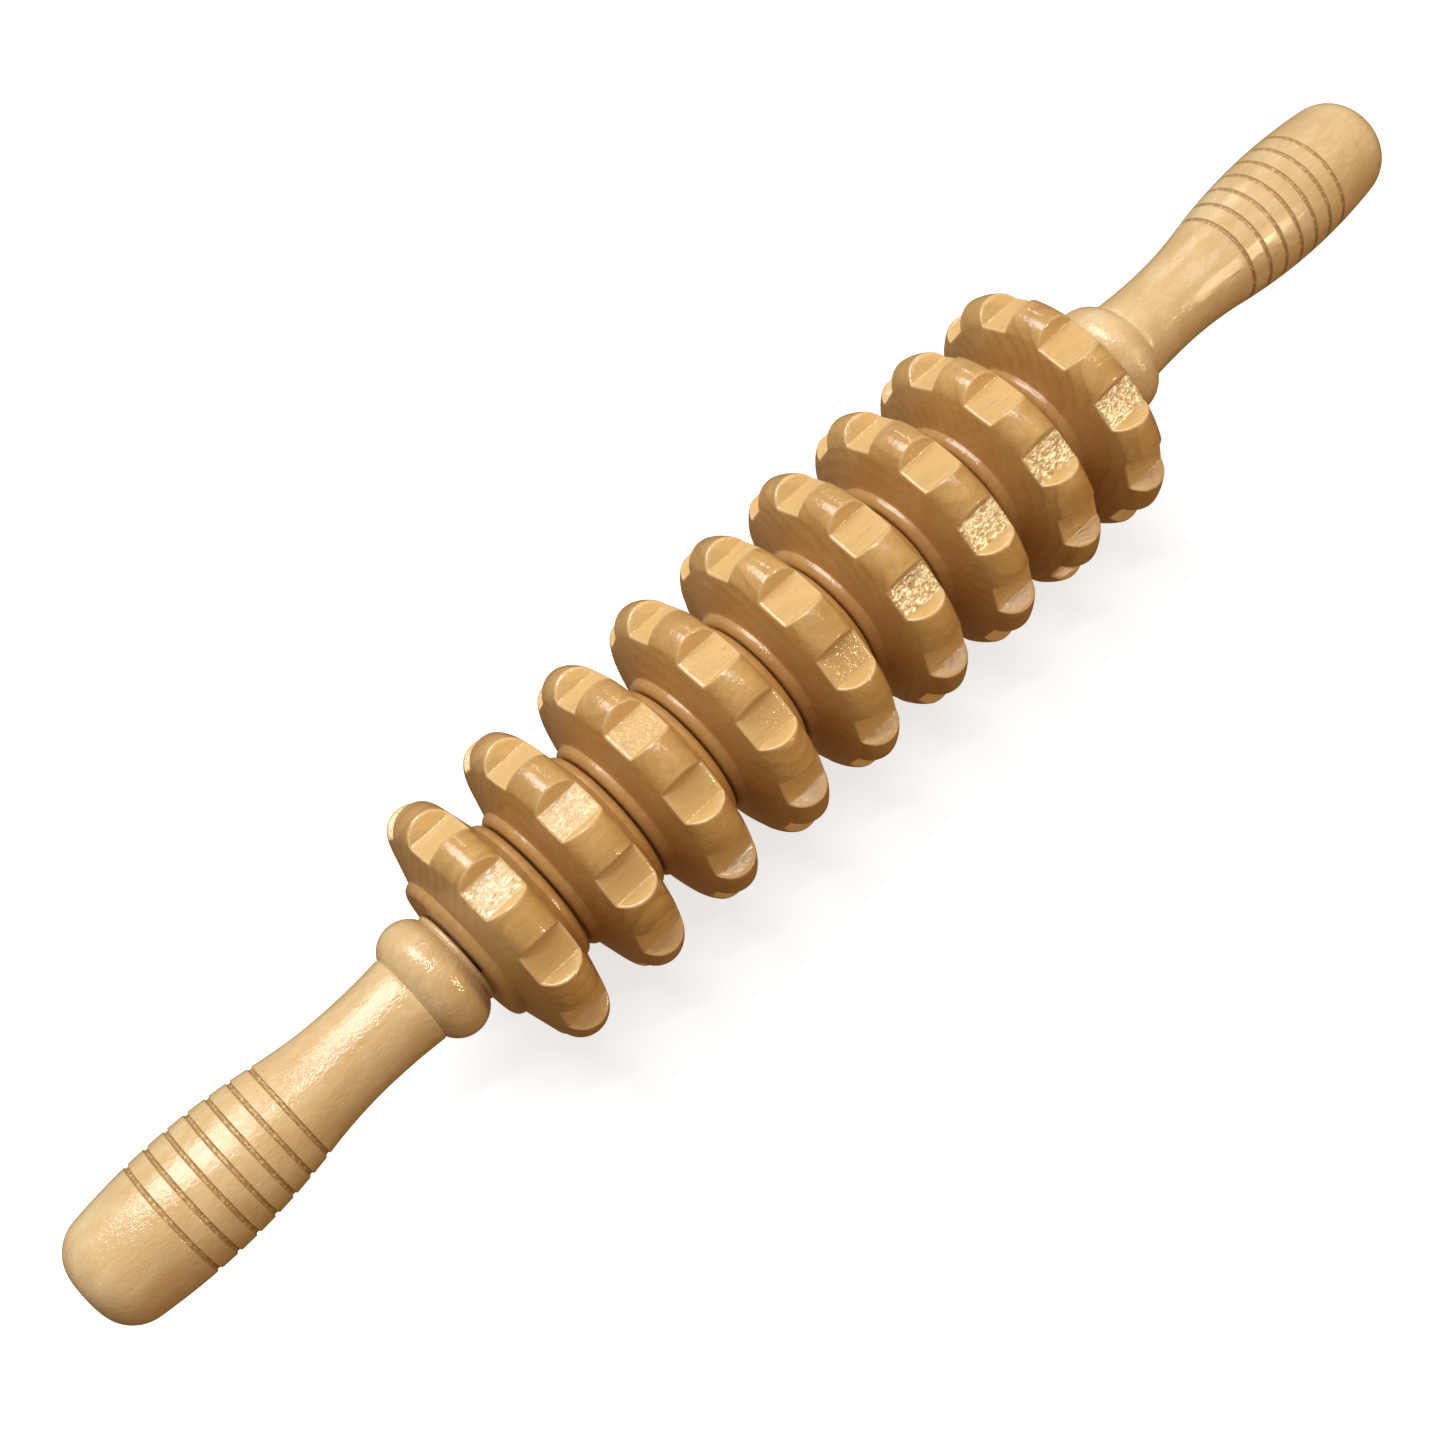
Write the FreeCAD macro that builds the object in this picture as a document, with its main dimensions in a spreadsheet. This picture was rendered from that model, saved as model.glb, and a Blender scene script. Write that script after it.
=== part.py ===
"""Two-handled wooden massage roller: nine notched wheels that turn on one axle.

Frame: millimetres, +Z up.  The origin is the middle of the axle, on the line that the
wheels turn about.  +X runs along the axle from the left handle to the right handle.
Pieces: a dowel axle, two turned handles glued on its ends, and nine turned wheels, each
with a hub on both sides and notches milled across its rounded rim.
"""
import FreeCAD, Part
import Sketcher
import math
import os

DRIVING_DIMENSIONS = (
    # wheels
    ("wheel_count", 9, "wheels on the axle"),
    ("wheel_pitch", 23.05, "from one wheel's middle to the next"),
    ("wheel_width", 22.55, "across the two hub faces"),
    ("wheel_radius", 33.5, "to the crown of the rim"),
    ("rim_round", 6.2, "radius of the rounded rim's section"),
    ("side_slope", 16.8, "degrees that each side leans from a flat disc's"),
    ("hub_radius", 19.3, "hub, where it stands on the side"),
    ("hub_round", 2.2, "rounded edge of the hub's face"),
    ("bore_clearance", 0.08, "radial, between the axle and a wheel's bore"),
    # notches across the rim
    ("notch_count", 10, "notches round one wheel"),
    ("notch_floor", 29.2, "from the axle's line to the flat floor"),
    ("notch_width", 8, "of the floor, along the rim"),
    ("notch_slope", 27, "degrees that each end wall leans outwards"),
    ("notch_reach", 36, "from the axle's line to the cutter's top, outside the rim"),
    # axle
    ("axle_radius", 6, "hardwood dowel"),
    ("axle_grip", 30, "length of dowel glued into each handle"),
    ("axle_chamfer", 0.8, "at both ends of the dowel"),
    # handles, with distances along the handle from its inner face
    ("handle_length", 104.8, "from the inner face to the butt's flat end"),
    ("bore_depth", 31.5, "straight part of the blind bore for the dowel"),
    ("drill_slope", 31, "degrees of the cone at the bore's end"),
    ("seat_radius", 12, "thin disc that faces the last hub"),
    ("collar_middle", 7.5, "to the collar's widest ring"),
    ("collar_radius", 15.3, "at its widest ring"),
    ("collar_half", 6.3, "from its widest ring to the seam on either side"),
    ("seam_radius", 11.5, "at the seam between the collar and the neck"),
    ("neck_middle", 28.5, "to the neck's narrowest ring"),
    ("neck_radius", 10.8, "at its narrowest ring"),
    ("neck_curve", 110, "radius of the hollow curve that leads to the grip"),
    ("grip_middle", 75.7, "to the grip's widest ring"),
    ("grip_radius", 15, "at its widest ring"),
    ("butt_round", 9.5, "radius of the butt's rounded corner"),
    # incised rings round the grip
    ("ring_count", 7, "rings on one grip"),
    ("ring_start", 49.4, "to the middle of the first ring"),
    ("ring_pitch", 5.36, "from one ring to the next"),
    ("ring_width", 1.2, "at the surface"),
    ("ring_floor", 0.5, "width at the bottom"),
    ("ring_depth", 0.6, "below the surface"),
)

# How far each wheel is turned about +X from having one notch straight up, in degrees.
WHEEL_TURNS = (8.5, 6, -0.5, -2.5, 2, 0.5, 0.5, -2.5, 1.5)

SHEET = "Dimensions"
START, END = 1, 2
ROOT_POINT = (-1, 1)
ACROSS_AXIS, UP_AXIS = -1, -2
FULL_TURN = 360


def make_sheet(doc):
    """Put the driving dimensions in a spreadsheet, one row each: name, value, meaning."""
    sheet = doc.addObject("Spreadsheet::Sheet", SHEET)
    rows = list(DRIVING_DIMENSIONS)
    for number, turn in enumerate(WHEEL_TURNS, start=1):
        rows.append(("turn_of_wheel_%d" % number, turn, "degrees about +X"))
    for row, (name, value, meaning) in enumerate(rows, start=1):
        sheet.set("A%d" % row, name)
        sheet.set("B%d" % row, str(value))
        sheet.set("C%d" % row, meaning)
        sheet.setAlias("B%d" % row, name)
    doc.recompute()
    return sheet


def read(formula):
    """Turn each {name} of a formula into a reading of that driving dimension."""
    cells = {name: "%s.%s" % (SHEET, name) for name, _, _ in DRIVING_DIMENSIONS}
    return "(" + formula.format(**cells) + ")"


def number_of(sheet, expression):
    """What an expression comes to, as a plain number."""
    result = sheet.evalExpression(expression)
    return float(getattr(result, "Value", result))


def origin_feature(body, role):
    """One of a body's own origin planes or axes, found by its role."""
    return next(item for item in body.Origin.OriginFeatures if item.Role == role)


def new_sketch(body, name, plane):
    sketch = body.newObject("Sketcher::SketchObject", name)
    sketch.AttachmentSupport = [(origin_feature(body, plane), "")]
    sketch.MapMode = "FlatFace"
    return sketch


def bind(sketch, constraint, name, expression):
    """Add a constraint whose value follows an expression."""
    index = sketch.addConstraint(constraint)
    sketch.renameConstraint(index, name)
    sketch.setExpression("Constraints." + name, expression)


def pin_point(sketch, edge, point, name, across, up):
    """Hold an edge's point at a place given by two expressions; "0" puts it on an axis."""
    sheet = sketch.Document.getObject(SHEET)
    for kind, expression, axis in (("DistanceX", across, UP_AXIS), ("DistanceY", up, ACROSS_AXIS)):
        if expression == "0":
            sketch.addConstraint(Sketcher.Constraint("PointOnObject", edge, point, axis))
        else:
            value = number_of(sheet, expression)
            constraint = Sketcher.Constraint(kind, *ROOT_POINT, edge, point, value)
            bind(sketch, constraint, name + kind[-1], expression)


def arc_between(start, end, radius, side):
    """The short arc between two places, with its centre to the left (1) or right (-1)."""
    chord = end - start
    leftward = FreeCAD.Vector(-chord.y, chord.x, 0)
    leftward.normalize()
    reach = math.sqrt(radius ** 2 - (chord.Length / 2) ** 2)
    centre = (start + end) * 0.5 + leftward * (side * reach)
    first = math.atan2(start.y - centre.y, start.x - centre.x)
    last = math.atan2(end.y - centre.y, end.x - centre.x)
    circle = Part.Circle(centre, FreeCAD.Vector(0, 0, 1), radius)
    if side > 0:
        return Part.ArcOfCircle(circle, first, last)
    return Part.ArcOfCircle(circle, last, first)


def draw_outline(sketch, corners, arcs=None):
    """Draw a closed outline whose places and radii are all bound to expressions.

    corners: (name, across, up) in anticlockwise order, the places as expressions.
    arcs: {corner: (radius, side)} for the edges that leave those corners as arcs.  The
    arc's centre is to the left of its edge when side is 1, and to the right when -1.
    """
    arcs = arcs or {}
    sheet = sketch.Document.getObject(SHEET)
    places = [FreeCAD.Vector(number_of(sheet, across), number_of(sheet, up), 0)
              for _, across, up in corners]
    edges = []
    for index, (name, _, _) in enumerate(corners):
        start = places[index]
        end = places[(index + 1) % len(corners)]
        if name in arcs:
            radius, side = arcs[name]
            shape = arc_between(start, end, number_of(sheet, radius), side)
            edge = sketch.addGeometry(shape, False)
            # an arc whose centre is to the right is held from its end to its start
            edges.append((edge, START, END) if side > 0 else (edge, END, START))
            bind(sketch, Sketcher.Constraint("Radius", edge, number_of(sheet, radius)),
                 name + "_radius", radius)
        else:
            edge = sketch.addGeometry(Part.LineSegment(start, end), False)
            edges.append((edge, START, END))
    for index, (name, across, up) in enumerate(corners):
        edge, first, last = edges[index]
        next_edge, next_first, _ = edges[(index + 1) % len(corners)]
        sketch.addConstraint(Sketcher.Constraint("Coincident", edge, last, next_edge, next_first))
        pin_point(sketch, edge, first, name, across, up)


def revolve(body, sketch, kind, name):
    """Turn a sketch a full turn about the axle's line, adding or cutting."""
    feature = body.newObject(kind, name)
    feature.Profile = sketch
    feature.ReferenceAxis = (sketch, ["H_Axis"])
    feature.Angle = FULL_TURN
    return feature


def make_axle(doc):
    """A straight dowel, as long as the row of wheels and glued into both handles."""
    body = doc.addObject("PartDesign::Body", "Axle")
    body.Label = "axle"
    section = new_sketch(body, "AxleSection", "YZ_Plane")
    circle = Part.Circle(FreeCAD.Vector(0, 0, 0), FreeCAD.Vector(0, 0, 1), 1)
    section.addGeometry(circle, False)
    section.addConstraint(Sketcher.Constraint("Coincident", 0, 3, *ROOT_POINT))
    bind(section, Sketcher.Constraint("Radius", 0, 1), "axle_radius", read("{axle_radius}"))
    dowel = body.newObject("PartDesign::Pad", "AxleDowel")
    dowel.Profile = section
    dowel.SideType = "Symmetric"
    dowel.setExpression("Length", "2 * (%s + %s)" % (HANDLE_FACE, read("{axle_grip}")))
    doc.recompute()
    ends = ["Edge%d" % number for number, edge in enumerate(dowel.Shape.Edges, start=1)
            if edge.isClosed()]
    chamfer = body.newObject("PartDesign::Chamfer", "AxleEnds")
    chamfer.Base = (dowel, ends)
    chamfer.setExpression("Size", read("{axle_chamfer}"))
    return body


def make_handle(doc, side, label):
    """A turned handle: seat disc, collar, hollow neck, swelling grip with rings, blunt butt.

    side is 1 for the handle at +X and -1 for the one at -X, which is turned half round.
    The outline is drawn with the inner face at x = 0 and the butt towards +X.
    """
    body = doc.addObject("PartDesign::Body", label.title().replace("_", ""))
    body.Label = label
    turned = new_sketch(body, body.Name + "Outline", "XY_Plane")

    # arcs through three known places: the collar, and the flare from the seam to the neck
    collar_rise = read("{collar_radius} - {seam_radius}")
    collar_curve = "((%s^2 + %s^2) / (2 * %s))" % (read("{collar_half}"), collar_rise, collar_rise)
    seam = read("{collar_middle} + {collar_half}")
    flare_run = "(%s - %s)" % (read("{neck_middle}"), seam)
    flare_rise = read("{seam_radius} - {neck_radius}")
    flare_curve = "((%s^2 + %s^2) / (2 * %s))" % (flare_run, flare_rise, flare_rise)

    # the hollow neck runs smoothly into the swelling grip, which shares the rise with it
    run = read("{grip_middle} - {neck_middle}")
    rise = read("{grip_radius} - {neck_radius}")
    both_curves = "((%s^2 + %s^2) / (2 * %s))" % (run, rise, rise)
    neck_share = "(%s / %s)" % (read("{neck_curve}"), both_curves)
    grip_curve = "(%s - %s)" % (both_curves, read("{neck_curve}"))
    turning_across = "(%s + %s * %s)" % (read("{neck_middle}"), run, neck_share)
    turning_up = "(%s + %s * %s)" % (read("{neck_radius}"), rise, neck_share)

    # the butt: a flat disc, and a round corner that the grip runs smoothly into
    grip_radius = read("{grip_radius}")
    butt_round = read("{butt_round}")
    inside = "(%s - %s)" % (grip_curve, butt_round)
    corner_across = read("{handle_length} - {butt_round}")
    corner_run = "(%s - %s)" % (corner_across, read("{grip_middle}"))
    corner_up = "(%s - %s + sqrt(%s^2 - %s^2))" % (grip_radius, grip_curve, inside, corner_run)
    stretch = "(%s / %s)" % (grip_curve, inside)
    butt_across = "(%s + %s * %s)" % (read("{grip_middle}"), stretch, corner_run)
    butt_up = "(%s - %s + %s * (%s - %s + %s))" % (
        grip_radius, grip_curve, stretch, corner_up, grip_radius, grip_curve)

    drill_point = read("{bore_depth} + {axle_radius} * tan({drill_slope})")
    draw_outline(turned, (
        ("mouth", "0", read("{axle_radius}")),
        ("bottom", read("{bore_depth}"), read("{axle_radius}")),
        ("drill", drill_point, "0"),
        ("tip", read("{handle_length}"), "0"),
        ("end", read("{handle_length}"), corner_up),
        ("butt", butt_across, butt_up),
        ("turning", turning_across, turning_up),
        ("neck", read("{neck_middle}"), read("{neck_radius}")),
        ("seam", seam, read("{seam_radius}")),
        ("collar", read("{collar_middle} - {collar_half}"), read("{seam_radius}")),
        ("seat", read("{collar_middle} - {collar_half}"), read("{seat_radius}")),
        ("face", "0", read("{seat_radius}")),
    ), {
        "end": (butt_round, 1),
        "butt": (grip_curve, 1),
        "turning": (read("{neck_curve}"), -1),
        "neck": (flare_curve, -1),
        "seam": (collar_curve, 1),
    })
    revolve(body, turned, "PartDesign::Revolution", body.Name + "Turned")

    # every ring is as deep below the swelling surface as the others
    rings = new_sketch(body, body.Name + "RingOutlines", "XY_Plane")
    sheet = doc.getObject(SHEET)
    for index in range(int(number_of(sheet, read("{ring_count}")))):
        middle = "(%s + %d * %s)" % (read("{ring_start}"), index, read("{ring_pitch}"))
        surface = "(%s - %s + sqrt(%s^2 - (%s - %s)^2))" % (
            grip_radius, grip_curve, grip_curve, middle, read("{grip_middle}"))
        half_floor = read("{ring_floor} / 2")
        half_top = read("{ring_width} - {ring_floor} / 2")
        floor = "(%s - %s)" % (surface, read("{ring_depth}"))
        top = "(%s + %s)" % (surface, read("{ring_depth}"))
        draw_outline(rings, (
            ("ring%d_a" % index, "(%s - %s)" % (middle, half_floor), floor),
            ("ring%d_b" % index, "(%s + %s)" % (middle, half_floor), floor),
            ("ring%d_c" % index, "(%s + %s)" % (middle, half_top), top),
            ("ring%d_d" % index, "(%s - %s)" % (middle, half_top), top),
        ))
    revolve(body, rings, "PartDesign::Groove", body.Name + "Rings")

    if side < 0:
        body.Placement.Rotation = FreeCAD.Rotation(FreeCAD.Vector(0, 0, 1), FULL_TURN / 2)
    body.setExpression("Placement.Base.x", "%d * %s" % (side, HANDLE_FACE))
    return body


def make_wheel(doc, number):
    """A turned wheel with a hub on both sides and notches milled across its rim."""
    body = doc.addObject("PartDesign::Body", "Wheel%d" % number)
    body.Label = "wheel_%d" % number
    turned = new_sketch(body, body.Name + "Outline", "XY_Plane")
    half_width = read("{wheel_width} / 2")
    bore = read("{axle_radius} + {bore_clearance}")
    face_top = read("{hub_radius} - {hub_round}")
    hub_side = read("{wheel_width} / 2 - {hub_round}")
    hub = read("{hub_radius}")
    foot = read("{rim_round} / cos({side_slope})"
                " + ({wheel_radius} - {rim_round} - {hub_radius}) * tan({side_slope})")
    rim_across = read("{rim_round} * cos({side_slope})")
    rim_up = read("{wheel_radius} - {rim_round} + {rim_round} * sin({side_slope})")
    draw_outline(turned, (
        ("bore_left", "-" + half_width, bore),
        ("bore_right", half_width, bore),
        ("face_right", half_width, face_top),
        ("hub_right", hub_side, hub),
        ("foot_right", foot, hub),
        ("rim_right", rim_across, rim_up),
        ("rim_left", "-" + rim_across, rim_up),
        ("foot_left", "-" + foot, hub),
        ("hub_left", "-" + hub_side, hub),
        ("face_left", "-" + half_width, face_top),
    ), {
        "face_right": (read("{hub_round}"), 1),
        "rim_right": (read("{rim_round}"), 1),
        "hub_left": (read("{hub_round}"), 1),
    })
    revolve(body, turned, "PartDesign::Revolution", body.Name + "Turned")

    notch = new_sketch(body, body.Name + "NotchOutline", "YZ_Plane")
    floor = read("{notch_floor}")
    reach = read("{notch_reach}")
    half_floor = read("{notch_width} / 2")
    half_top = read("{notch_width} / 2 + ({notch_reach} - {notch_floor}) * tan({notch_slope})")
    draw_outline(notch, (
        ("floor_left", "-" + half_floor, floor),
        ("floor_right", half_floor, floor),
        ("top_right", half_top, reach),
        ("top_left", "-" + half_top, reach),
    ))
    notch.setExpression("AttachmentOffset.Rotation.Angle", "%s.turn_of_wheel_%d" % (SHEET, number))
    pocket = body.newObject("PartDesign::Pocket", body.Name + "Notch")
    pocket.Profile = notch
    pocket.SideType = "Symmetric"
    pocket.setExpression("Length", read("{wheel_width}"))

    pattern = body.newObject("PartDesign::PolarPattern", body.Name + "Notches")
    pattern.Originals = [pocket]
    pattern.Axis = (origin_feature(body, "X_Axis"), [""])
    pattern.Angle = FULL_TURN
    pattern.setExpression("Occurrences", read("{notch_count}"))
    body.Tip = pattern
    step = read("({wheel_count} + 1) / 2")
    body.setExpression("Placement.Base.x", "(%d - %s) * %s" % (number, step, read("{wheel_pitch}")))
    return body


def check(doc, bodies):
    """Stop with a plain message if any object failed or any piece isn't one sound solid."""
    for item in doc.Objects:
        if "Invalid" in item.State or "Error" in item.State:
            raise RuntimeError("%s failed: %s" % (item.Label, item.State))
        if item.isDerivedFrom("Sketcher::SketchObject") and not item.FullyConstrained:
            raise RuntimeError("%s is not fully constrained" % item.Label)
    for body in bodies:
        shape = body.Shape
        if shape.isNull() or not shape.isValid() or len(shape.Solids) != 1:
            raise RuntimeError("%s is not one sound solid" % body.Label)


# From the middle of the row to a handle's inner face: half the wheels, and one more gap
# like the one between two hubs.
HANDLE_FACE = read("{wheel_count} * {wheel_pitch} / 2 + ({wheel_pitch} - {wheel_width}) / 2")


def main():
    doc = FreeCAD.newDocument("MassageRoller")
    sheet = make_sheet(doc)
    bodies = [make_axle(doc), make_handle(doc, -1, "handle_left"), make_handle(doc, 1, "handle_right")]
    for number in range(1, int(number_of(sheet, read("{wheel_count}"))) + 1):
        bodies.append(make_wheel(doc, number))
    doc.recompute()
    check(doc, bodies)
    os.makedirs("parts", exist_ok=True)
    for body in bodies:
        body.Shape.exportStep("parts/%s.step" % body.Label)
        box = body.Shape.BoundBox
        print("%-14s %9.1f mm3  x %.2f to %.2f  radius %.2f" % (
            body.Label, body.Shape.Volume, box.XMin, box.XMax, box.ZMax))


main()
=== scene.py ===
import math

import bpy
import numpy as np
from mathutils import Matrix, Vector


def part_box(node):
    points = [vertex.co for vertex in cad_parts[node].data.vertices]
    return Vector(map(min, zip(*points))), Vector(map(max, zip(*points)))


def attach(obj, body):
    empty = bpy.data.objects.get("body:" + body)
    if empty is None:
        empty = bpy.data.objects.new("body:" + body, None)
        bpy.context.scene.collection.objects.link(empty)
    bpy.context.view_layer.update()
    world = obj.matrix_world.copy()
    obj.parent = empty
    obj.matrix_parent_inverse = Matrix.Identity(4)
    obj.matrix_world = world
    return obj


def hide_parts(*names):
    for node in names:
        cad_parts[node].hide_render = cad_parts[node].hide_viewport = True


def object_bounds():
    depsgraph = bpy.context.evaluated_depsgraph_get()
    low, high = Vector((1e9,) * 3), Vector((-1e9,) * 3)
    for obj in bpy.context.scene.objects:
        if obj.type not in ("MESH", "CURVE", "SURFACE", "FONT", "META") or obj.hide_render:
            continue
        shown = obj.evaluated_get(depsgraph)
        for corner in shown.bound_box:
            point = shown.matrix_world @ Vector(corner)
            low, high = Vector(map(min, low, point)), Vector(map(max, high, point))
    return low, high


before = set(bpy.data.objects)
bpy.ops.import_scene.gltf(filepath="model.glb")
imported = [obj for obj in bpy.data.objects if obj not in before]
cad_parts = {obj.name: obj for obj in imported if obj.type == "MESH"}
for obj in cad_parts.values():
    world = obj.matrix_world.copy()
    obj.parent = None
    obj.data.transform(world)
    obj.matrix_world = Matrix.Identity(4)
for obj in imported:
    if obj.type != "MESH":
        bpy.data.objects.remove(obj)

CAD_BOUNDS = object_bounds()
MM = 0.001               # the shapes below are worked out in millimetres
JOIN_REACH = 0.002       # points of a mesh closer than this become one

# ---------------------------------------------------------------- wheels, in millimetres
RIM_ROUND = 6.2          # radius of the rounded rim's section
SIDE_SLOPE = math.radians(16.8)
HUB_RADIUS = 19.3
HUB_ROUND = 2.2
BORE_RADIUS = 6.08
NOTCH_COUNT = 10
NOTCH_FLOOR = 29.2       # from the axle's line
NOTCH_HALF = 4.0         # half of the floor's width along the rim
NOTCH_SLOPE = math.radians(27)
EDGE_ROUND = 0.35        # sanded edges of the notches
CORNER_FILL = 0.3        # varnish in the inner corners
PERIOD = 2 * math.pi / NOTCH_COUNT
# how far each wheel is turned about +X from having one notch straight up, in degrees
WHEEL_TURNS = (8.5, 6, -0.5, -2.5, 2, 0.5, 0.5, -2.5, 1.5)
# how rough the badly milled notches are, from 0 to 1, by the wheel's number and the notch's
# place, counted from the top one towards -Y
ROUGH_NOTCHES = {(1, 0): 0.62, (2, 0): 0.58, (3, 0): 0.35, (4, 0): 0.3, (4, 1): 0.35, (6, 1): 0.9,
                 (7, 1): 1.0, (8, 1): 0.9, (9, 1): 0.8, (8, 0): 0.3, (5, 5): 0.7, (2, 6): 0.8}
USUAL_ROUGHNESS = 0.15   # of every other notch
WALL_ROUGHNESS = 0.3     # of a notch's walls, as a share of its floor's
NOTCH_BLEND = 0.3        # where the turned skin gives way to the milled wood
FLOOR_BLEND = 0.5        # where a notch's floor gives way to its walls
EDGE_HIGHLIGHT_REACH = 0.4         # how far the painted highlight along the notches' edges reaches

# ---------------------------------------------------------------- handles, in millimetres
SEAT_RADIUS = 12.0
SEAT_EDGE = 0.35         # the seat's softened edges
FACE_RADIUS = 6.5        # where the inner face ends, at the axle
COLLAR_MIDDLE, COLLAR_RADIUS, COLLAR_HALF = 7.5, 15.3, 6.3
SEAM_RADIUS = 11.5
QUIRK = 0.22             # depth of the fine line cut at the seam
NECK_MIDDLE, NECK_RADIUS, NECK_CURVE = 28.5, 10.8, 110.0
GRIP_MIDDLE, GRIP_RADIUS = 75.7, 15.0
BUTT_ROUND = 9.5
RING_COUNT, RING_START, RING_PITCH = 7, 49.4, 5.36
RING_WIDTH, RING_DEPTH = 1.2, 0.45
HANDLE_COLUMNS = 128     # points round a handle's mesh

WHEELS = sorted(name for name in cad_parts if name.startswith("wheel_"))

# ------------------------------------------------------------ colours, as 0 to 255 on display
# light and dark patches, mottling, late wood in the growth rings, fibres
WHEEL_WOOD = ((208, 166, 98), (192, 146, 82), (184, 138, 74), (154, 104, 54), (170, 120, 66))
HANDLE_WOOD = ((229, 202, 153), (214, 178, 125), (216, 172, 112), (196, 146, 90), (200, 152, 94))
HUB_TONE_AND_SHADE = (174, 124, 70)                         # darker and redder towards the hub: partly the wood's own tone, partly painted shade and bounce light between the wheels
MILLED, MILLED_FIBRE = (223, 184, 120), (200, 154, 96)
# a painted highlight along the notches' edges
EDGE_HIGHLIGHT = (238, 200, 148)
WHEEL_PORE, HANDLE_PORE = (122, 78, 38), (140, 96, 50)
# painted shade in the hollows and painted glints on the fibres of the torn wood in the rough
# notches
TORN_SHADE, TORN_GLINT = (140, 96, 50), (255, 250, 206)
RING_BOTTOM, RING_FIBRE = (178, 138, 82), (220, 182, 124)
DOWEL, DOWEL_FIBRE = (214, 178, 122), (176, 132, 80)
FLOOR_GREYS = (176, 176, 176), (180, 180, 180)

# ------------------------------------------------------------------- camera, floor and light
CAMERA_PLACE = (-150.7, -152.5, 442.1)           # millimetres
CAMERA_RIGHT = (0.71292, -0.69976, -0.04564)
CAMERA_FORWARD = (0.25134, 0.31574, -0.91496)
CAMERA_LENS, CAMERA_SENSOR = 52.16, 36
CAMERA_SHIFT = (0.0166, 0.0085)
FLOOR_HALF = 3.0                                 # metres, from here on
# how strongly the floor glows under the wheels and under the handles, and the distances from
# the middle, along the axle, between which one turns into the other
WHEELS_GLOW, HANDLES_GLOW = 0.69, 0.9
GLOW_START, GLOW_END = 0.09, 0.15
SKY_TOP = (-0.15, 0.6, 0.8)                      # towards the sky's brightest place
SKY_LOW, SKY_HIGH = -0.5, 0.7                    # along that direction
SKY_DARK, SKY_BRIGHT = (0.18, 0.085, 0.03, 1), (0.42, 0.41, 0.37, 1)
# each lamp's name, place, aim, size, watts and colour
LAMPS = (
    ("strip", (-0.055, 0.1, 1.05), (-0.194, 0.156, 0), (0.61, 0.04), 3, (1, 1, 1)),
    ("end", (0.5, -0.14, 1.05), (0.05, 0, 0), (0.09, 0.09), 0.55, (1, 1, 1)),
    ("key", (-0.15, 0.62, 0.95), (0, 0, 0), (0.7, 0.5), 8, (1, 1, 1)),
    ("window", (0.56, 0.8, 0.62), (0.06, 0, 0), (0.1, 0.1), 0.6, (1, 1, 1)),
    ("spark", (0.57, -0.92, 0.57), (0.06, 0, 0), (0.1, 0.1), 3.6, (1, 0.78, 0.5)),
)


def box_mm(node):
    """A CAD node's lowest and highest corners, in millimetres."""
    low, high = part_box(node)
    return low / MM, high / MM


def farthest_from_axle(node):
    """The largest distance of a CAD node's surface from the axle's line, in millimetres."""
    return max(math.hypot(v.co.y, v.co.z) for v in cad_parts[node].data.vertices) / MM


# --------------------------------------------------------------------- objects and meshes
def new_item(name, data):
    item = bpy.data.objects.new(name, data)
    bpy.context.scene.collection.objects.link(item)
    return item


def new_object(name, points, faces, attributes, normals=None):
    """A smooth mesh object from points in millimetres, with named attributes on its points."""
    mesh = bpy.data.meshes.new(name)
    mesh.from_pydata((points * MM).tolist(), [], faces)
    mesh.validate()
    for key, values in attributes.items():
        kind = "FLOAT_VECTOR" if values.ndim == 2 else "FLOAT"
        layer = mesh.attributes.new(key, kind, "POINT")
        field = "vector" if values.ndim == 2 else "value"
        layer.data.foreach_set(field, values.astype(np.float32).ravel())
    mesh.shade_smooth()
    if normals is not None:
        mesh.normals_split_custom_set_from_vertices(normals.tolist())
    return new_item(name, mesh)


def ring_faces(rows, columns, close_rows):
    """Quads of a grid whose columns go all the way round."""
    faces = []
    for row in range(rows if close_rows else rows - 1):
        above = (row + 1) % rows
        for column in range(columns):
            beside = (column + 1) % columns
            faces.append((row * columns + column, row * columns + beside,
                          above * columns + beside, above * columns + column))
    return faces


def merged(points, faces):
    """Join points that lie together, and drop the faces that vanish."""
    cells = np.round(points / JOIN_REACH).astype(np.int64)
    _, first, owner = np.unique(cells, axis=0, return_index=True, return_inverse=True)
    owner = owner.ravel()
    kept = []
    for face in faces:
        corners = []
        for corner in face:
            if not corners or owner[corner] != corners[-1]:
                corners.append(int(owner[corner]))
        if corners[0] == corners[-1]:
            corners.pop()
        if len(set(corners)) >= 3:
            kept.append(tuple(corners))
    return points[first], kept


def in_log(points, seed, nearest, farthest):
    """Where each point lay in the log that its piece was cut from, with the grain along x.

    The piece is turned about its axle at random, and its place in the log, measured from the
    pith, is anywhere between nearest and farthest."""
    rng = np.random.default_rng(seed)
    angle = rng.uniform(0, 2 * math.pi)
    c, s = math.cos(angle), math.sin(angle)
    x, y, z = points.T
    return np.stack([x, c * y - s * z, s * y + c * z], axis=1) + rng.uniform(nearest, farthest)


# ------------------------------------------------------------------- the wheel's shape
def smooth_min(a, b, reach):
    """Where two solids meet in an inner corner, or overlap, softened over a reach."""
    share = np.clip(0.5 + 0.5 * (b - a) / reach, 0, 1)
    return b + (a - b) * share - reach * share * (1 - share)


def round_max(a, b, radius):
    """Where two solids meet in an outer edge, rounded to a radius."""
    u = np.maximum(a + radius, 0)
    v = np.maximum(b + radius, 0)
    return np.minimum(-radius, np.maximum(a, b)) + np.hypot(u, v)


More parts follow.
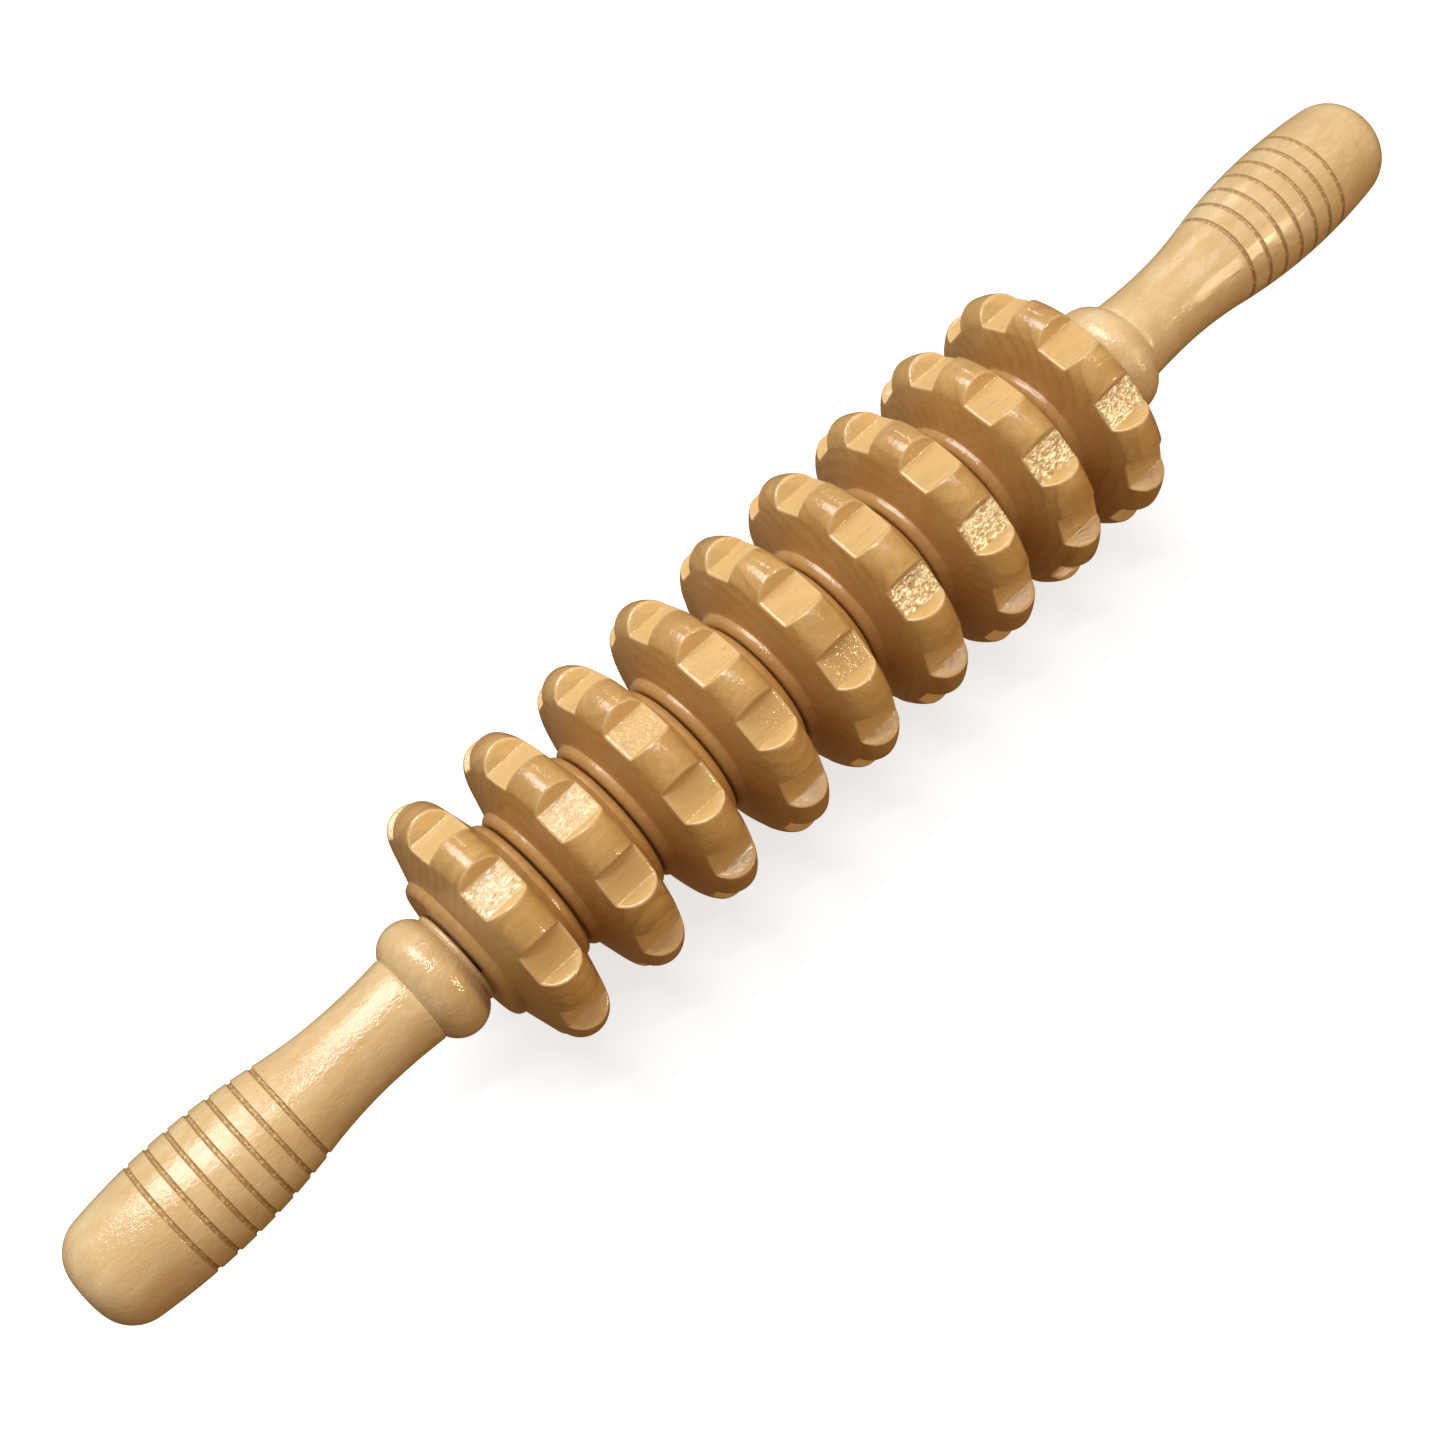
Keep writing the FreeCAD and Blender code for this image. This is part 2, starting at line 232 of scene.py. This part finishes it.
class Wheel:
    """The solid of one wheel in its own frame: x along the axle, a notch straight up."""

    def __init__(self, half_width, radius):
        self.half_width = half_width
        self.radius = radius
        self.rim_centre = radius - RIM_ROUND

    def half_thickness(self, r):
        """Half the thickness of the disc, from the hub to the crown, at a distance r."""
        up = (r - self.rim_centre) / RIM_ROUND
        cone = (RIM_ROUND / math.cos(SIDE_SLOPE)
                + (self.rim_centre - r) * math.tan(SIDE_SLOPE))
        arc = RIM_ROUND * np.sqrt(np.clip(1 - up ** 2, 0, 1))
        return np.where(up < math.sin(SIDE_SLOPE), cone, arc)

    def turned(self, x, r):
        """Signed distance to the turned shape: a coned disc with a rounded rim, and hubs."""
        across = np.abs(x)
        up = r - self.rim_centre
        cone = across * math.cos(SIDE_SLOPE) + up * math.sin(SIDE_SLOPE) - RIM_ROUND
        crown = np.hypot(across, up) - RIM_ROUND
        disc = np.where(np.arctan2(up, across) < SIDE_SLOPE, cone, crown)
        qx = across - (self.half_width - HUB_ROUND)
        qr = r - (HUB_RADIUS - HUB_ROUND)
        hub = (np.minimum(np.maximum(qx, qr), 0)
               + np.hypot(np.maximum(qx, 0), np.maximum(qr, 0)) - HUB_ROUND)
        return smooth_min(disc, hub, CORNER_FILL)

    def left_by_notches(self, y, z):
        """Signed distance to what the notch cutter leaves: below its floor or beyond its walls."""
        r = np.hypot(y, z)
        turn = np.arctan2(-y, z)
        turn = (turn + PERIOD / 2) % PERIOD - PERIOD / 2
        along = np.abs(r * np.sin(turn))
        up = r * np.cos(turn) - NOTCH_FLOOR
        wall = (along - NOTCH_HALF) * math.cos(NOTCH_SLOPE) - up * math.sin(NOTCH_SLOPE)
        return smooth_min(up, -wall, CORNER_FILL)

    def distance(self, p):
        """Signed distance to the finished wheel, with its edges rounded."""
        x, y, z = p.T
        r = np.hypot(y, z)
        solid = round_max(self.turned(x, r), self.left_by_notches(y, z), EDGE_ROUND)
        return round_max(solid, BORE_RADIUS - r, EDGE_ROUND)

    def slope(self, p):
        """Unit normals of the solid at points p."""
        step = 0.01
        parts = []
        for axis in np.eye(3):
            parts.append(self.distance(p + axis * step) - self.distance(p - axis * step))
        normal = np.stack(parts, axis=1)
        return normal / np.maximum(np.linalg.norm(normal, axis=1, keepdims=True), 1e-9)

    def columns(self):
        """Angles round the wheel, and how far out the solid reaches at each, before rounding."""
        floor_edge = math.atan(NOTCH_HALF / NOTCH_FLOOR)
        # the wall meets the crown where its line crosses the circle of the rim
        slope = math.tan(NOTCH_SLOPE)
        base = NOTCH_HALF - NOTCH_FLOOR * slope
        up = (-base * slope + math.sqrt(self.radius ** 2 * (1 + slope ** 2) - base ** 2)) / (
            1 + slope ** 2)
        top_edge = math.atan2(base + up * slope, up)
        floor = [floor_edge * share for share in (0, 0.6, 0.93)]
        wall = [floor_edge + (top_edge - floor_edge) * share for share in (0, 0.1, 0.4, 0.75, 0.94)]
        tooth = [top_edge + math.radians(extra) for extra in (0, 0.35, 0.9, 2.2, 4.5)]
        half = floor + wall + tooth
        angles = sorted([-a for a in half[1:]] + half + [PERIOD / 2])
        turns = np.array([PERIOD * k + a for k in range(NOTCH_COUNT) for a in angles])
        fold = np.abs((turns + PERIOD / 2) % PERIOD - PERIOD / 2)
        on_wall = base / (np.sin(fold) - slope * np.cos(fold) + 1e-12)
        reach = np.where(fold <= floor_edge + 1e-9, NOTCH_FLOOR / np.cos(fold), on_wall)
        reach = np.where(fold >= top_edge - 1e-9, self.radius, reach)
        return turns, np.minimum(reach, self.radius)

    def mesh(self):
        """A grid of rows from bore to bore over the crown, drawn onto the rounded solid."""
        turns, reach = self.columns()
        # the sides, from the hub's foot to the crown, as shares of the way out
        tangent = self.rim_centre + RIM_ROUND * math.sin(SIDE_SLOPE)
        cone = [HUB_RADIUS + (tangent - HUB_RADIUS) * share for share in (0, 0.03, 0.15, 0.4, 0.7)]
        arc = [self.rim_centre + RIM_ROUND * math.sin(angle)
               for angle in np.linspace(SIDE_SLOPE, math.pi / 2, 12)]
        shares = (np.array(cone + arc) - HUB_RADIUS) / (self.radius - HUB_RADIUS)
        rows = []
        for share in shares:
            r = HUB_RADIUS + (reach - HUB_RADIUS) * share
            rows.append((self.half_thickness(r), r))
        # over the top, from the right edge to the left one
        for across in (0.97, 0.85, 0.5, 0):
            rows.append((self.half_thickness(reach) * across, reach))
        left = [(-x, r) for x, r in rows[:-1]][::-1]
        # the hub's right side, from the bore out to the foot
        hub = [(self.half_width, BORE_RADIUS), (self.half_width, BORE_RADIUS + 1),
               (self.half_width, (BORE_RADIUS + HUB_RADIUS) / 2)]
        for angle in np.linspace(0, math.pi / 2, 6):
            hub.append((self.half_width - HUB_ROUND * (1 - math.cos(angle)),
                        HUB_RADIUS - HUB_ROUND * (1 - math.sin(angle))))
        hub_left = [(-x, r) for x, r in hub][::-1]
        rows = hub + rows + left + hub_left
        even = np.ones_like(turns)
        xs = np.concatenate([x * even for x, _ in rows])
        rs = np.concatenate([r * even for _, r in rows])
        around = np.tile(turns, len(rows))
        points = np.stack([xs, -rs * np.sin(around), rs * np.cos(around)], axis=1)
        faces = [face[::-1] for face in ring_faces(len(rows), len(turns), close_rows=True)]
        points, faces = merged(points, faces)
        for _ in range(5):
            points = points - self.slope(points) * self.distance(points)[:, None]
        return points, faces


def wheel_attributes(wheel, points, number):
    """What the wood material reads: the place in the log, the notches and their edges."""
    x, y, z = points.T
    turned = wheel.turned(x, np.hypot(y, z))
    cut = wheel.left_by_notches(y, z)
    in_notch = np.clip(0.5 + (np.abs(turned) - np.abs(cut)) / NOTCH_BLEND, 0, 1)
    # nearness to where two surfaces meet, for the painted highlight along the notches' edges
    edge = np.exp(-(np.maximum(np.abs(turned), np.abs(cut)) / EDGE_HIGHLIGHT_REACH) ** 2)
    around = np.arctan2(-y, z) / PERIOD
    place = np.round(around).astype(int) % NOTCH_COUNT
    from_middle = np.hypot(y, z) * np.abs(np.sin((around - np.round(around)) * PERIOD))
    on_floor = np.clip((NOTCH_HALF + 0.2 - from_middle) / FLOOR_BLEND, 0, 1)
    rough = np.array([ROUGH_NOTCHES.get((number, k), USUAL_ROUGHNESS) for k in range(NOTCH_COUNT)])
    rough = rough[place] * in_notch * (WALL_ROUGHNESS + (1 - WALL_ROUGHNESS) * on_floor)
    log = in_log(points, 10 + number, (-200, 12, -10), (200, 45, 10))
    return {"log_mm": log, "in_notch": in_notch, "edge": edge, "rough": rough}


def build_wheels():
    """One mesh, turned and moved for each wheel, with its own figure in the wood."""
    low, high = box_mm(WHEELS[0])
    wheel = Wheel((high.x - low.x) / 2, max(farthest_from_axle(name) for name in WHEELS))
    base, faces = wheel.mesh()
    normals = wheel.slope(base)
    pieces = []
    for number, name in enumerate(WHEELS, start=1):
        low, high = box_mm(name)
        turn = math.radians(WHEEL_TURNS[number - 1])
        c, s = math.cos(turn), math.sin(turn)
        spin = np.array([[1, 0, 0], [0, c, -s], [0, s, c]])
        points = base @ spin.T + np.array([(low.x + high.x) / 2, 0, 0])
        piece = new_object(name + "_turned", points, faces,
                           wheel_attributes(wheel, base, number), normals @ spin.T)
        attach(piece, name)
        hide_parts(name)
        pieces.append(piece)
    return pieces


# ------------------------------------------------------------------ the handles' shape
def arc_points(centre, radius, first, last, count):
    """Points along an arc, as (distance along the handle, radius)."""
    return [(centre[0] + radius * math.cos(a), centre[1] + radius * math.sin(a))
            for a in np.linspace(first, last, count)]


def handle_outline(length):
    """The turned outline without its rings, from the inner face to the butt's tip."""
    collar_rise = COLLAR_RADIUS - SEAM_RADIUS
    collar_curve = (COLLAR_HALF ** 2 + collar_rise ** 2) / (2 * collar_rise)
    collar_end = math.asin(COLLAR_HALF / collar_curve)
    seam = COLLAR_MIDDLE + COLLAR_HALF
    inner = COLLAR_MIDDLE - COLLAR_HALF
    outline = [(0, FACE_RADIUS), (0, 9.5), (0, SEAT_RADIUS - SEAT_EDGE), (0.1, SEAT_RADIUS - 0.1),
               (SEAT_EDGE, SEAT_RADIUS), (inner - 0.3, SEAT_RADIUS),
               (inner - 0.08, SEAT_RADIUS - 0.1), (inner, SEAT_RADIUS - SEAT_EDGE)]
    up = math.pi / 2
    outline += arc_points((COLLAR_MIDDLE, COLLAR_RADIUS - collar_curve), collar_curve,
                          up + collar_end, up - collar_end, 26)
    # a fine line at the seam, a short flare, then the long hollow neck
    outline += [(seam + 0.05, SEAM_RADIUS - QUIRK), (seam + 0.3, SEAM_RADIUS - QUIRK * 0.8)]
    flare_run, flare_rise = NECK_MIDDLE - seam, SEAM_RADIUS - NECK_RADIUS
    flare = (flare_run ** 2 + flare_rise ** 2) / (2 * flare_rise)
    start = math.asin(flare_run / flare)
    outline += arc_points((NECK_MIDDLE, NECK_RADIUS + flare), flare, -up - start * 0.95, -up, 10)
    run, rise = GRIP_MIDDLE - NECK_MIDDLE, GRIP_RADIUS - NECK_RADIUS
    both = (run ** 2 + rise ** 2) / (2 * rise)
    grip_curve = both - NECK_CURVE
    sweep = math.asin(run / both)
    outline += arc_points((NECK_MIDDLE, NECK_RADIUS + NECK_CURVE), NECK_CURVE,
                          -up, -up + sweep, 14)[1:]
    # the grip, a round corner that it runs smoothly into, and the butt's flat end
    corner = length - BUTT_ROUND
    inside = grip_curve - BUTT_ROUND
    end = math.asin((corner - GRIP_MIDDLE) / inside)
    corner_up = GRIP_RADIUS - grip_curve + inside * math.cos(end)
    outline += arc_points((GRIP_MIDDLE, GRIP_RADIUS - grip_curve), grip_curve,
                          up + sweep, up - end, 36)[1:]
    outline += arc_points((corner, corner_up), BUTT_ROUND, up - end, 0, 24)[1:]
    outline += [(length, corner_up * share) for share in (0.6, 0.25, 0)]
    return np.array(outline)


def with_rings(outline):
    """Sink the incised rings into an outline, adding points where they need them.

    Also gives how deep each point lies in a ring, from 0 to 1."""
    middles = RING_START + RING_PITCH * np.arange(RING_COUNT)
    half = RING_WIDTH / 2
    offsets = np.array((-1.9, -1.25, -1.05, -0.9, -0.7, -0.4, 0, 0.4, 0.7, 0.9, 1.05, 1.25, 1.9))
    extra = (middles[:, None] + offsets[None, :] * half).ravel()
    before = outline[outline[:, 0] < extra[0] - 0.1]
    after = outline[outline[:, 0] > extra[-1] + 0.1]
    radius = np.interp(extra, outline[:, 0], outline[:, 1])
    nearest = np.abs(extra[:, None] - middles[None, :]).min(axis=1) / half
    sunk = RING_DEPTH * (1 - np.clip(nearest, 0, 1.05) ** 4 / 1.05 ** 4)
    rings = np.stack([extra, radius - sunk], axis=1)
    depth = np.concatenate([np.zeros(len(before)), sunk / RING_DEPTH, np.zeros(len(after))])
    return np.concatenate([before, rings, after]), depth


def build_handles():
    """The two handles, the left one turned half round about the vertical."""
    pieces = []
    for name, side, seed in (("handle_left", -1, 3), ("handle_right", 1, 4)):
        low, high = box_mm(name)
        outline, depth = with_rings(handle_outline(high.x - low.x))
        inner_face = low.x if side > 0 else high.x
        along = np.repeat(outline[:, 0], HANDLE_COLUMNS)
        radius = np.repeat(outline[:, 1], HANDLE_COLUMNS)
        turns = np.linspace(0, 2 * math.pi, HANDLE_COLUMNS, endpoint=False)
        around = np.tile(turns, len(outline))
        points = np.stack([inner_face + side * along, radius * np.cos(around) * side,
                           radius * np.sin(around)], axis=1)
        faces = [face[::-1] for face in ring_faces(len(outline), HANDLE_COLUMNS, close_rows=False)]
        points, faces = merged(points, faces)
        ring = np.interp(side * (points[:, 0] - inner_face), outline[:, 0], depth)
        log = in_log(points, seed, (-200, 15, -10), (200, 40, 10))
        piece = new_object(name + "_turned", points, faces, {"log_mm": log, "in_ring": ring})
        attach(piece, "stick")
        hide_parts(name)
        pieces.append(piece)
    return pieces


# ------------------------------------------------------------------------- materials
class Nodes:
    """Short calls for building one material's nodes."""

    def __init__(self, name):
        self.material = bpy.data.materials.new(name)
        self.material.use_nodes = True
        self.tree = self.material.node_tree
        self.shader = self.tree.nodes["Principled BSDF"]

    def add(self, kind, inputs=None, **settings):
        node = self.tree.nodes.new(kind)
        for key, value in settings.items():
            setattr(node, key, value)
        for key, value in (inputs or {}).items():
            self.feed(node.inputs[key], value)
        return node

    def feed(self, socket, value):
        if isinstance(value, bpy.types.NodeSocket):
            self.tree.links.new(value, socket)
        else:
            socket.default_value = value

    def attribute(self, name, output="Fac"):
        return self.add("ShaderNodeAttribute", attribute_name=name).outputs[output]

    def math(self, operation, *values):
        node = self.add("ShaderNodeMath", operation=operation)
        for socket, value in zip(node.inputs, values):
            self.feed(socket, value)
        return node.outputs[0]

    def scaled(self, vector, scale):
        return self.add("ShaderNodeMapping", {"Vector": vector, "Scale": scale}).outputs[0]

    def length(self, vector):
        return self.add("ShaderNodeVectorMath", {0: vector}, operation="LENGTH").outputs["Value"]

    def noise(self, vector, scale, detail, roughness=0.5, distortion=0.0):
        """Noise over a vector, finer along each axis as that axis' scale grows."""
        node = self.add("ShaderNodeTexNoise", {
            "Vector": self.scaled(vector, scale), "Scale": 1.0, "Detail": detail,
            "Roughness": roughness, "Distortion": distortion})
        return node.outputs["Fac"]

    def spread(self, value, low, high, to_low=0.0, to_high=1.0):
        """Stretch a value from one range to another, smoothly and within its ends."""
        node = self.add("ShaderNodeMapRange", {
            "Value": value, "From Min": low, "From Max": high, "To Min": to_low,
            "To Max": to_high}, interpolation_type="SMOOTHSTEP")
        return node.outputs["Result"]

    def mix(self, factor, a, b):
        """From colour a to colour b; either may be a socket, or display values."""
        node = self.add("ShaderNodeMix", {0: factor}, data_type="RGBA")
        for index, colour in ((6, a), (7, b)):
            self.feed(node.inputs[index], linear(colour) if isinstance(colour, tuple) else colour)
        return node.outputs[2]

    def bump(self, height, distance, strength, normal=None):
        inputs = {"Height": height, "Distance": distance, "Strength": strength}
        if normal is not None:
            inputs["Normal"] = normal
        return self.add("ShaderNodeBump", inputs).outputs[0]

    def shade(self, **values):
        """Set the shader's inputs, named with _ for a space."""
        for key, value in values.items():
            self.feed(self.shader.inputs[key.replace("_", " ")], value)


def linear(colour):
    """A colour given as 0 to 255 display values, as the shader takes it."""
    def one(value):
        value /= 255
        return value / 12.92 if value <= 0.04045 else ((value + 0.055) / 1.055) ** 2.4
    return (*map(one, colour), 1.0)


def wood_figure(nodes):
    """Growth rings, fibres, blotches and pores of a log whose grain runs along its x."""
    log = nodes.attribute("log_mm", "Vector")
    # growth rings: distance from the pith, made uneven by a slow noise
    sway = nodes.noise(log, (0.006, 0.05, 0.05), 2.0)
    distance = nodes.length(nodes.scaled(log, (0.012, 1, 1)))
    distance = nodes.math("MULTIPLY_ADD", sway, 9.0, distance)
    band = nodes.math("FRACT", nodes.math("MULTIPLY", distance, 0.3))
    late = nodes.math("MULTIPLY", nodes.spread(band, 0.3, 0.93), nodes.spread(band, 1.0, 0.95))
    # rings show in some places only
    shown = nodes.spread(nodes.noise(log, (0.02, 0.05, 0.05), 1.0), 0.36, 0.6)
    return {
        "log": log,
        "late": nodes.math("MULTIPLY", late, shown),
        "fibres": nodes.noise(log, (0.14, 1.5, 1.5), 4.0, 0.6),
        "fine": nodes.noise(log, (0.5, 4.0, 4.0), 2.0, 0.6),
        "blotch": nodes.noise(log, (0.06, 0.12, 0.12), 3.0, 0.6, 0.3),
        "mottle": nodes.noise(log, (0.35, 0.6, 0.6), 3.0, 0.6),
        "pores": nodes.spread(nodes.noise(log, (0.4, 3.2, 3.2), 1.0), 0.66, 0.78)}


def wood_colour(nodes, figure, colours, mottling, late_wood, streaks):
    """The turned wood's colour, and how much of its fibres' colour shows at each place."""
    light, dark, mottled, late, fibre = colours
    colour = nodes.mix(nodes.spread(figure["blotch"], 0.3, 0.7), light, dark)
    colour = nodes.mix(nodes.spread(figure["mottle"], 0.35, 0.7, 0.0, mottling), colour, mottled)
    colour = nodes.mix(nodes.math("MULTIPLY", figure["late"], late_wood), colour, late)
    streak = nodes.spread(figure["fibres"], 0.4, 0.75, 0.0, streaks)
    return nodes.mix(streak, colour, fibre), streak


def varnished(nodes, figure, layers, fine_height, dullest, coat_roughness):
    """A thin clear coat over bumps of several sizes, with little shine from the wood under it.

    Each layer of bumps is its noise's scale, detail and roughness, its height in metres, its
    strength, and where it shows, which is everywhere for None."""
    normal = None
    for scale, detail, roughness, height, strength, where in layers:
        relief = nodes.noise(figure["log"], scale, detail, roughness)
        if where is not None:
            relief = nodes.math("MULTIPLY", relief, where)
        normal = nodes.bump(relief, height, strength, normal)
    normal = nodes.bump(figure["fine"], fine_height, 0.6, normal)
    nodes.shade(Normal=normal, Coat_Normal=normal,
                Roughness=nodes.spread(figure["fibres"], 0.3, 0.8, 0.42, dullest),
                Coat_Weight=0.9, Coat_Roughness=coat_roughness, Coat_IOR=1.65,
                Specular_IOR_Level=0.2)


def wheel_wood():
    """Stained and varnished wood, paler where the notches were milled; darker and redder towards
    the hub, partly as painted shade; with a painted highlight along the notches' edges and painted
    glints and shade in the rough notches.
    """
    nodes = Nodes("wheel_wood")
    figure = wood_figure(nodes)
    rough = nodes.attribute("rough")
    colour, streak = wood_colour(nodes, figure, WHEEL_WOOD, 0.4, 0.36, 0.3)
    # darker and redder towards the hub: partly the wood's own tone, partly painted shade and bounce
    # light between the wheels
    place = nodes.add("ShaderNodeTexCoord").outputs["Object"]
    radius = nodes.length(nodes.scaled(place, (0, 1 / MM, 1 / MM)))
    colour = nodes.mix(nodes.spread(radius, 31.5, 22.0, 0.0, 0.5), colour, HUB_TONE_AND_SHADE)
    pale = nodes.mix(streak, MILLED, MILLED_FIBRE)
    colour = nodes.mix(nodes.math("MULTIPLY", nodes.attribute("in_notch"), 0.85), colour, pale)
    # a painted highlight along the notches' edges
    colour = nodes.mix(nodes.math("MULTIPLY", nodes.attribute("edge"), 0.5), colour, EDGE_HIGHLIGHT)
    flecks = nodes.math("MULTIPLY", figure["pores"], nodes.math("MULTIPLY_ADD", rough, 0.45, 0.22))
    colour = nodes.mix(flecks, colour, WHEEL_PORE)
    # torn wood in the rough notches: painted shade in the hollows between the fibres, and painted
    # glints on the fibres
    torn = nodes.noise(figure["log"], (0.7, 1.5, 1.5), 2.0, 0.6, 0.6)
    roughest = nodes.spread(rough, 0.45, 0.75)
    hollow_shade = nodes.math("MULTIPLY", nodes.spread(torn, 0.5, 0.38, 0.0, 0.5), roughest)
    colour = nodes.mix(hollow_shade, colour, TORN_SHADE)
    painted_glints = nodes.math("MULTIPLY", nodes.spread(torn, 0.53, 0.58), roughest)
    nodes.shade(Base_Color=nodes.mix(painted_glints, colour, TORN_GLINT))
    # soft waves of the sanded skin, fibres raised by the varnish, coarse skin in rough notches
    varnished(nodes, figure, (
        ((0.3, 0.55, 0.55), 3.0, 0.6, 0.00012, 0.7, None),
        ((0.7, 1.2, 1.2), 3.0, 0.65, 0.00014, 0.7, None),
        ((0.8, 1.15, 1.15), 2.0, 0.6, 0.00022, 1.0, rough),
    ), fine_height=0.000012, dullest=0.6, coat_roughness=0.1)
    return nodes.material


def handle_wood():
    """Pale varnished wood, darker in the incised rings."""
    nodes = Nodes("handle_wood")
    figure = wood_figure(nodes)
    ring = nodes.attribute("in_ring")
    colour, _ = wood_colour(nodes, figure, HANDLE_WOOD, 0.3, 0.1, 0.2)
    colour = nodes.mix(nodes.math("MULTIPLY", figure["pores"], 0.2), colour, HANDLE_PORE)
    # torn fibres in the rings catch some varnish
    torn = nodes.spread(nodes.noise(figure["log"], (1.2, 1.4, 1.4), 2.0, 0.6), 0.5, 0.62)
    bottom = nodes.mix(torn, RING_BOTTOM, RING_FIBRE)
    nodes.shade(Base_Color=nodes.mix(nodes.spread(ring, 0.3, 0.9), colour, bottom))
    # soft waves of the sanded skin, fibres raised by the varnish, torn fibres in the rings
    varnished(nodes, figure, (
        ((0.16, 0.5, 0.5), 3.0, 0.6, 0.0001, 0.7, None),
        ((0.6, 1.1, 1.1), 3.0, 0.65, 0.00023, 0.7, None),
        ((1.2, 1.8, 1.8), 2.0, 0.7, 0.0004, 1.0, ring),
    ), fine_height=0.00002, dullest=0.58, coat_roughness=0.075)
    return nodes.material


def axle_wood():
    """The bare dowel: straight fibres and no varnish."""
    nodes = Nodes("axle_wood")
    place = nodes.add("ShaderNodeTexCoord").outputs["Object"]
    fibres = nodes.noise(place, (60, 1800, 1800), 4.0, 0.6)
    nodes.shade(Base_Color=nodes.mix(nodes.spread(fibres, 0.3, 0.75), DOWEL, DOWEL_FIBRE),
                Normal=nodes.bump(fibres, 0.00008, 0.6),
                Roughness=nodes.spread(fibres, 0.2, 0.8, 0.55, 0.75))
    return nodes.material


# ------------------------------------------------------------------ camera, floor, light
def make_camera():
    """Above the left handle's neck, looking down across the axle."""
    data = bpy.data.cameras.new("Camera")
    data.lens = CAMERA_LENS
    data.sensor_width = CAMERA_SENSOR
    data.shift_x, data.shift_y = CAMERA_SHIFT
    data.clip_start = 0.01
    forward = Vector(CAMERA_FORWARD)
    up = Vector(CAMERA_RIGHT).cross(forward).normalized()
    right = forward.cross(up).normalized()
    turn = Matrix((right, up, -forward)).transposed().to_4x4()
    item = new_item("Camera", data)
    item.matrix_world = Matrix.Translation(Vector(CAMERA_PLACE) * MM) @ turn
    bpy.context.scene.camera = item


def make_floor():
    """A wide pale floor at the wheels' lowest point.

    It glows a little, more under the handles, so that only the wheels cast a soft shadow."""
    z = CAD_BOUNDS[0][2]
    mesh = bpy.data.meshes.new("floor")
    mesh.from_pydata([(x * FLOOR_HALF, y * FLOOR_HALF, z)
                      for x, y in ((-1, -1), (1, -1), (1, 1), (-1, 1))], [], [(0, 1, 2, 3)])
    item = new_item("floor", mesh)
    nodes = Nodes("floor_white")
    place = nodes.add("ShaderNodeTexCoord").outputs["Object"]
    along = nodes.add("ShaderNodeSeparateXYZ", {0: place}).outputs["X"]
    glow = nodes.spread(nodes.math("ABSOLUTE", along), GLOW_START, GLOW_END, WHEELS_GLOW,
                        HANDLES_GLOW)
    speckle = nodes.noise(place, (40, 40, 40), 2.0)
    nodes.shade(Base_Color=nodes.mix(speckle, *FLOOR_GREYS), Roughness=0.9,
                Specular_IOR_Level=0.1, Emission_Color=(1, 1, 1, 1), Emission_Strength=glow)
    mesh.materials.append(nodes.material)
    # the roller is lit by the lamps and the sky alone, not by the bright floor
    item.visible_diffuse = False
    item.visible_glossy = False


def make_sky():
    """A soft sky, brightest behind and above the roller, and dark and warm on the other side."""
    world = bpy.data.worlds.new("World")
    bpy.context.scene.world = world
    world.use_nodes = True
    nodes = world.node_tree.nodes
    links = world.node_tree.links
    tilted = nodes.new("ShaderNodeVectorMath")
    tilted.operation = "DOT_PRODUCT"
    tilted.inputs[1].default_value = SKY_TOP
    links.new(nodes.new("ShaderNodeTexCoord").outputs["Generated"], tilted.inputs[0])
    height = nodes.new("ShaderNodeMapRange")
    height.inputs["From Min"].default_value = SKY_LOW
    height.inputs["From Max"].default_value = SKY_HIGH
    links.new(tilted.outputs["Value"], height.inputs["Value"])
    sky = nodes.new("ShaderNodeMix")
    sky.data_type = "RGBA"
    sky.inputs[6].default_value = SKY_DARK
    sky.inputs[7].default_value = SKY_BRIGHT
    links.new(height.outputs["Result"], sky.inputs[0])
    links.new(sky.outputs[2], nodes["Background"].inputs["Color"])


def make_lamps():
    for name, place, aim, size, watts, colour in LAMPS:
        data = bpy.data.lights.new(name, "AREA")
        data.shape = "RECTANGLE"
        data.size, data.size_y = size
        data.energy = watts
        data.color = colour
        item = new_item(name, data)
        item.location = place
        item.rotation_euler = (Vector(aim) - Vector(place)).to_track_quat("-Z", "X").to_euler()


def main():
    for pieces, material in ((build_wheels(), wheel_wood()), (build_handles(), handle_wood())):
        for piece in pieces:
            piece.data.materials.append(material)
    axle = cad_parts["axle"]
    axle.data.materials.clear()
    axle.data.materials.append(axle_wood())
    make_camera()
    make_floor()
    make_sky()
    make_lamps()
    bpy.context.scene.view_settings.view_transform = "Standard"


main()
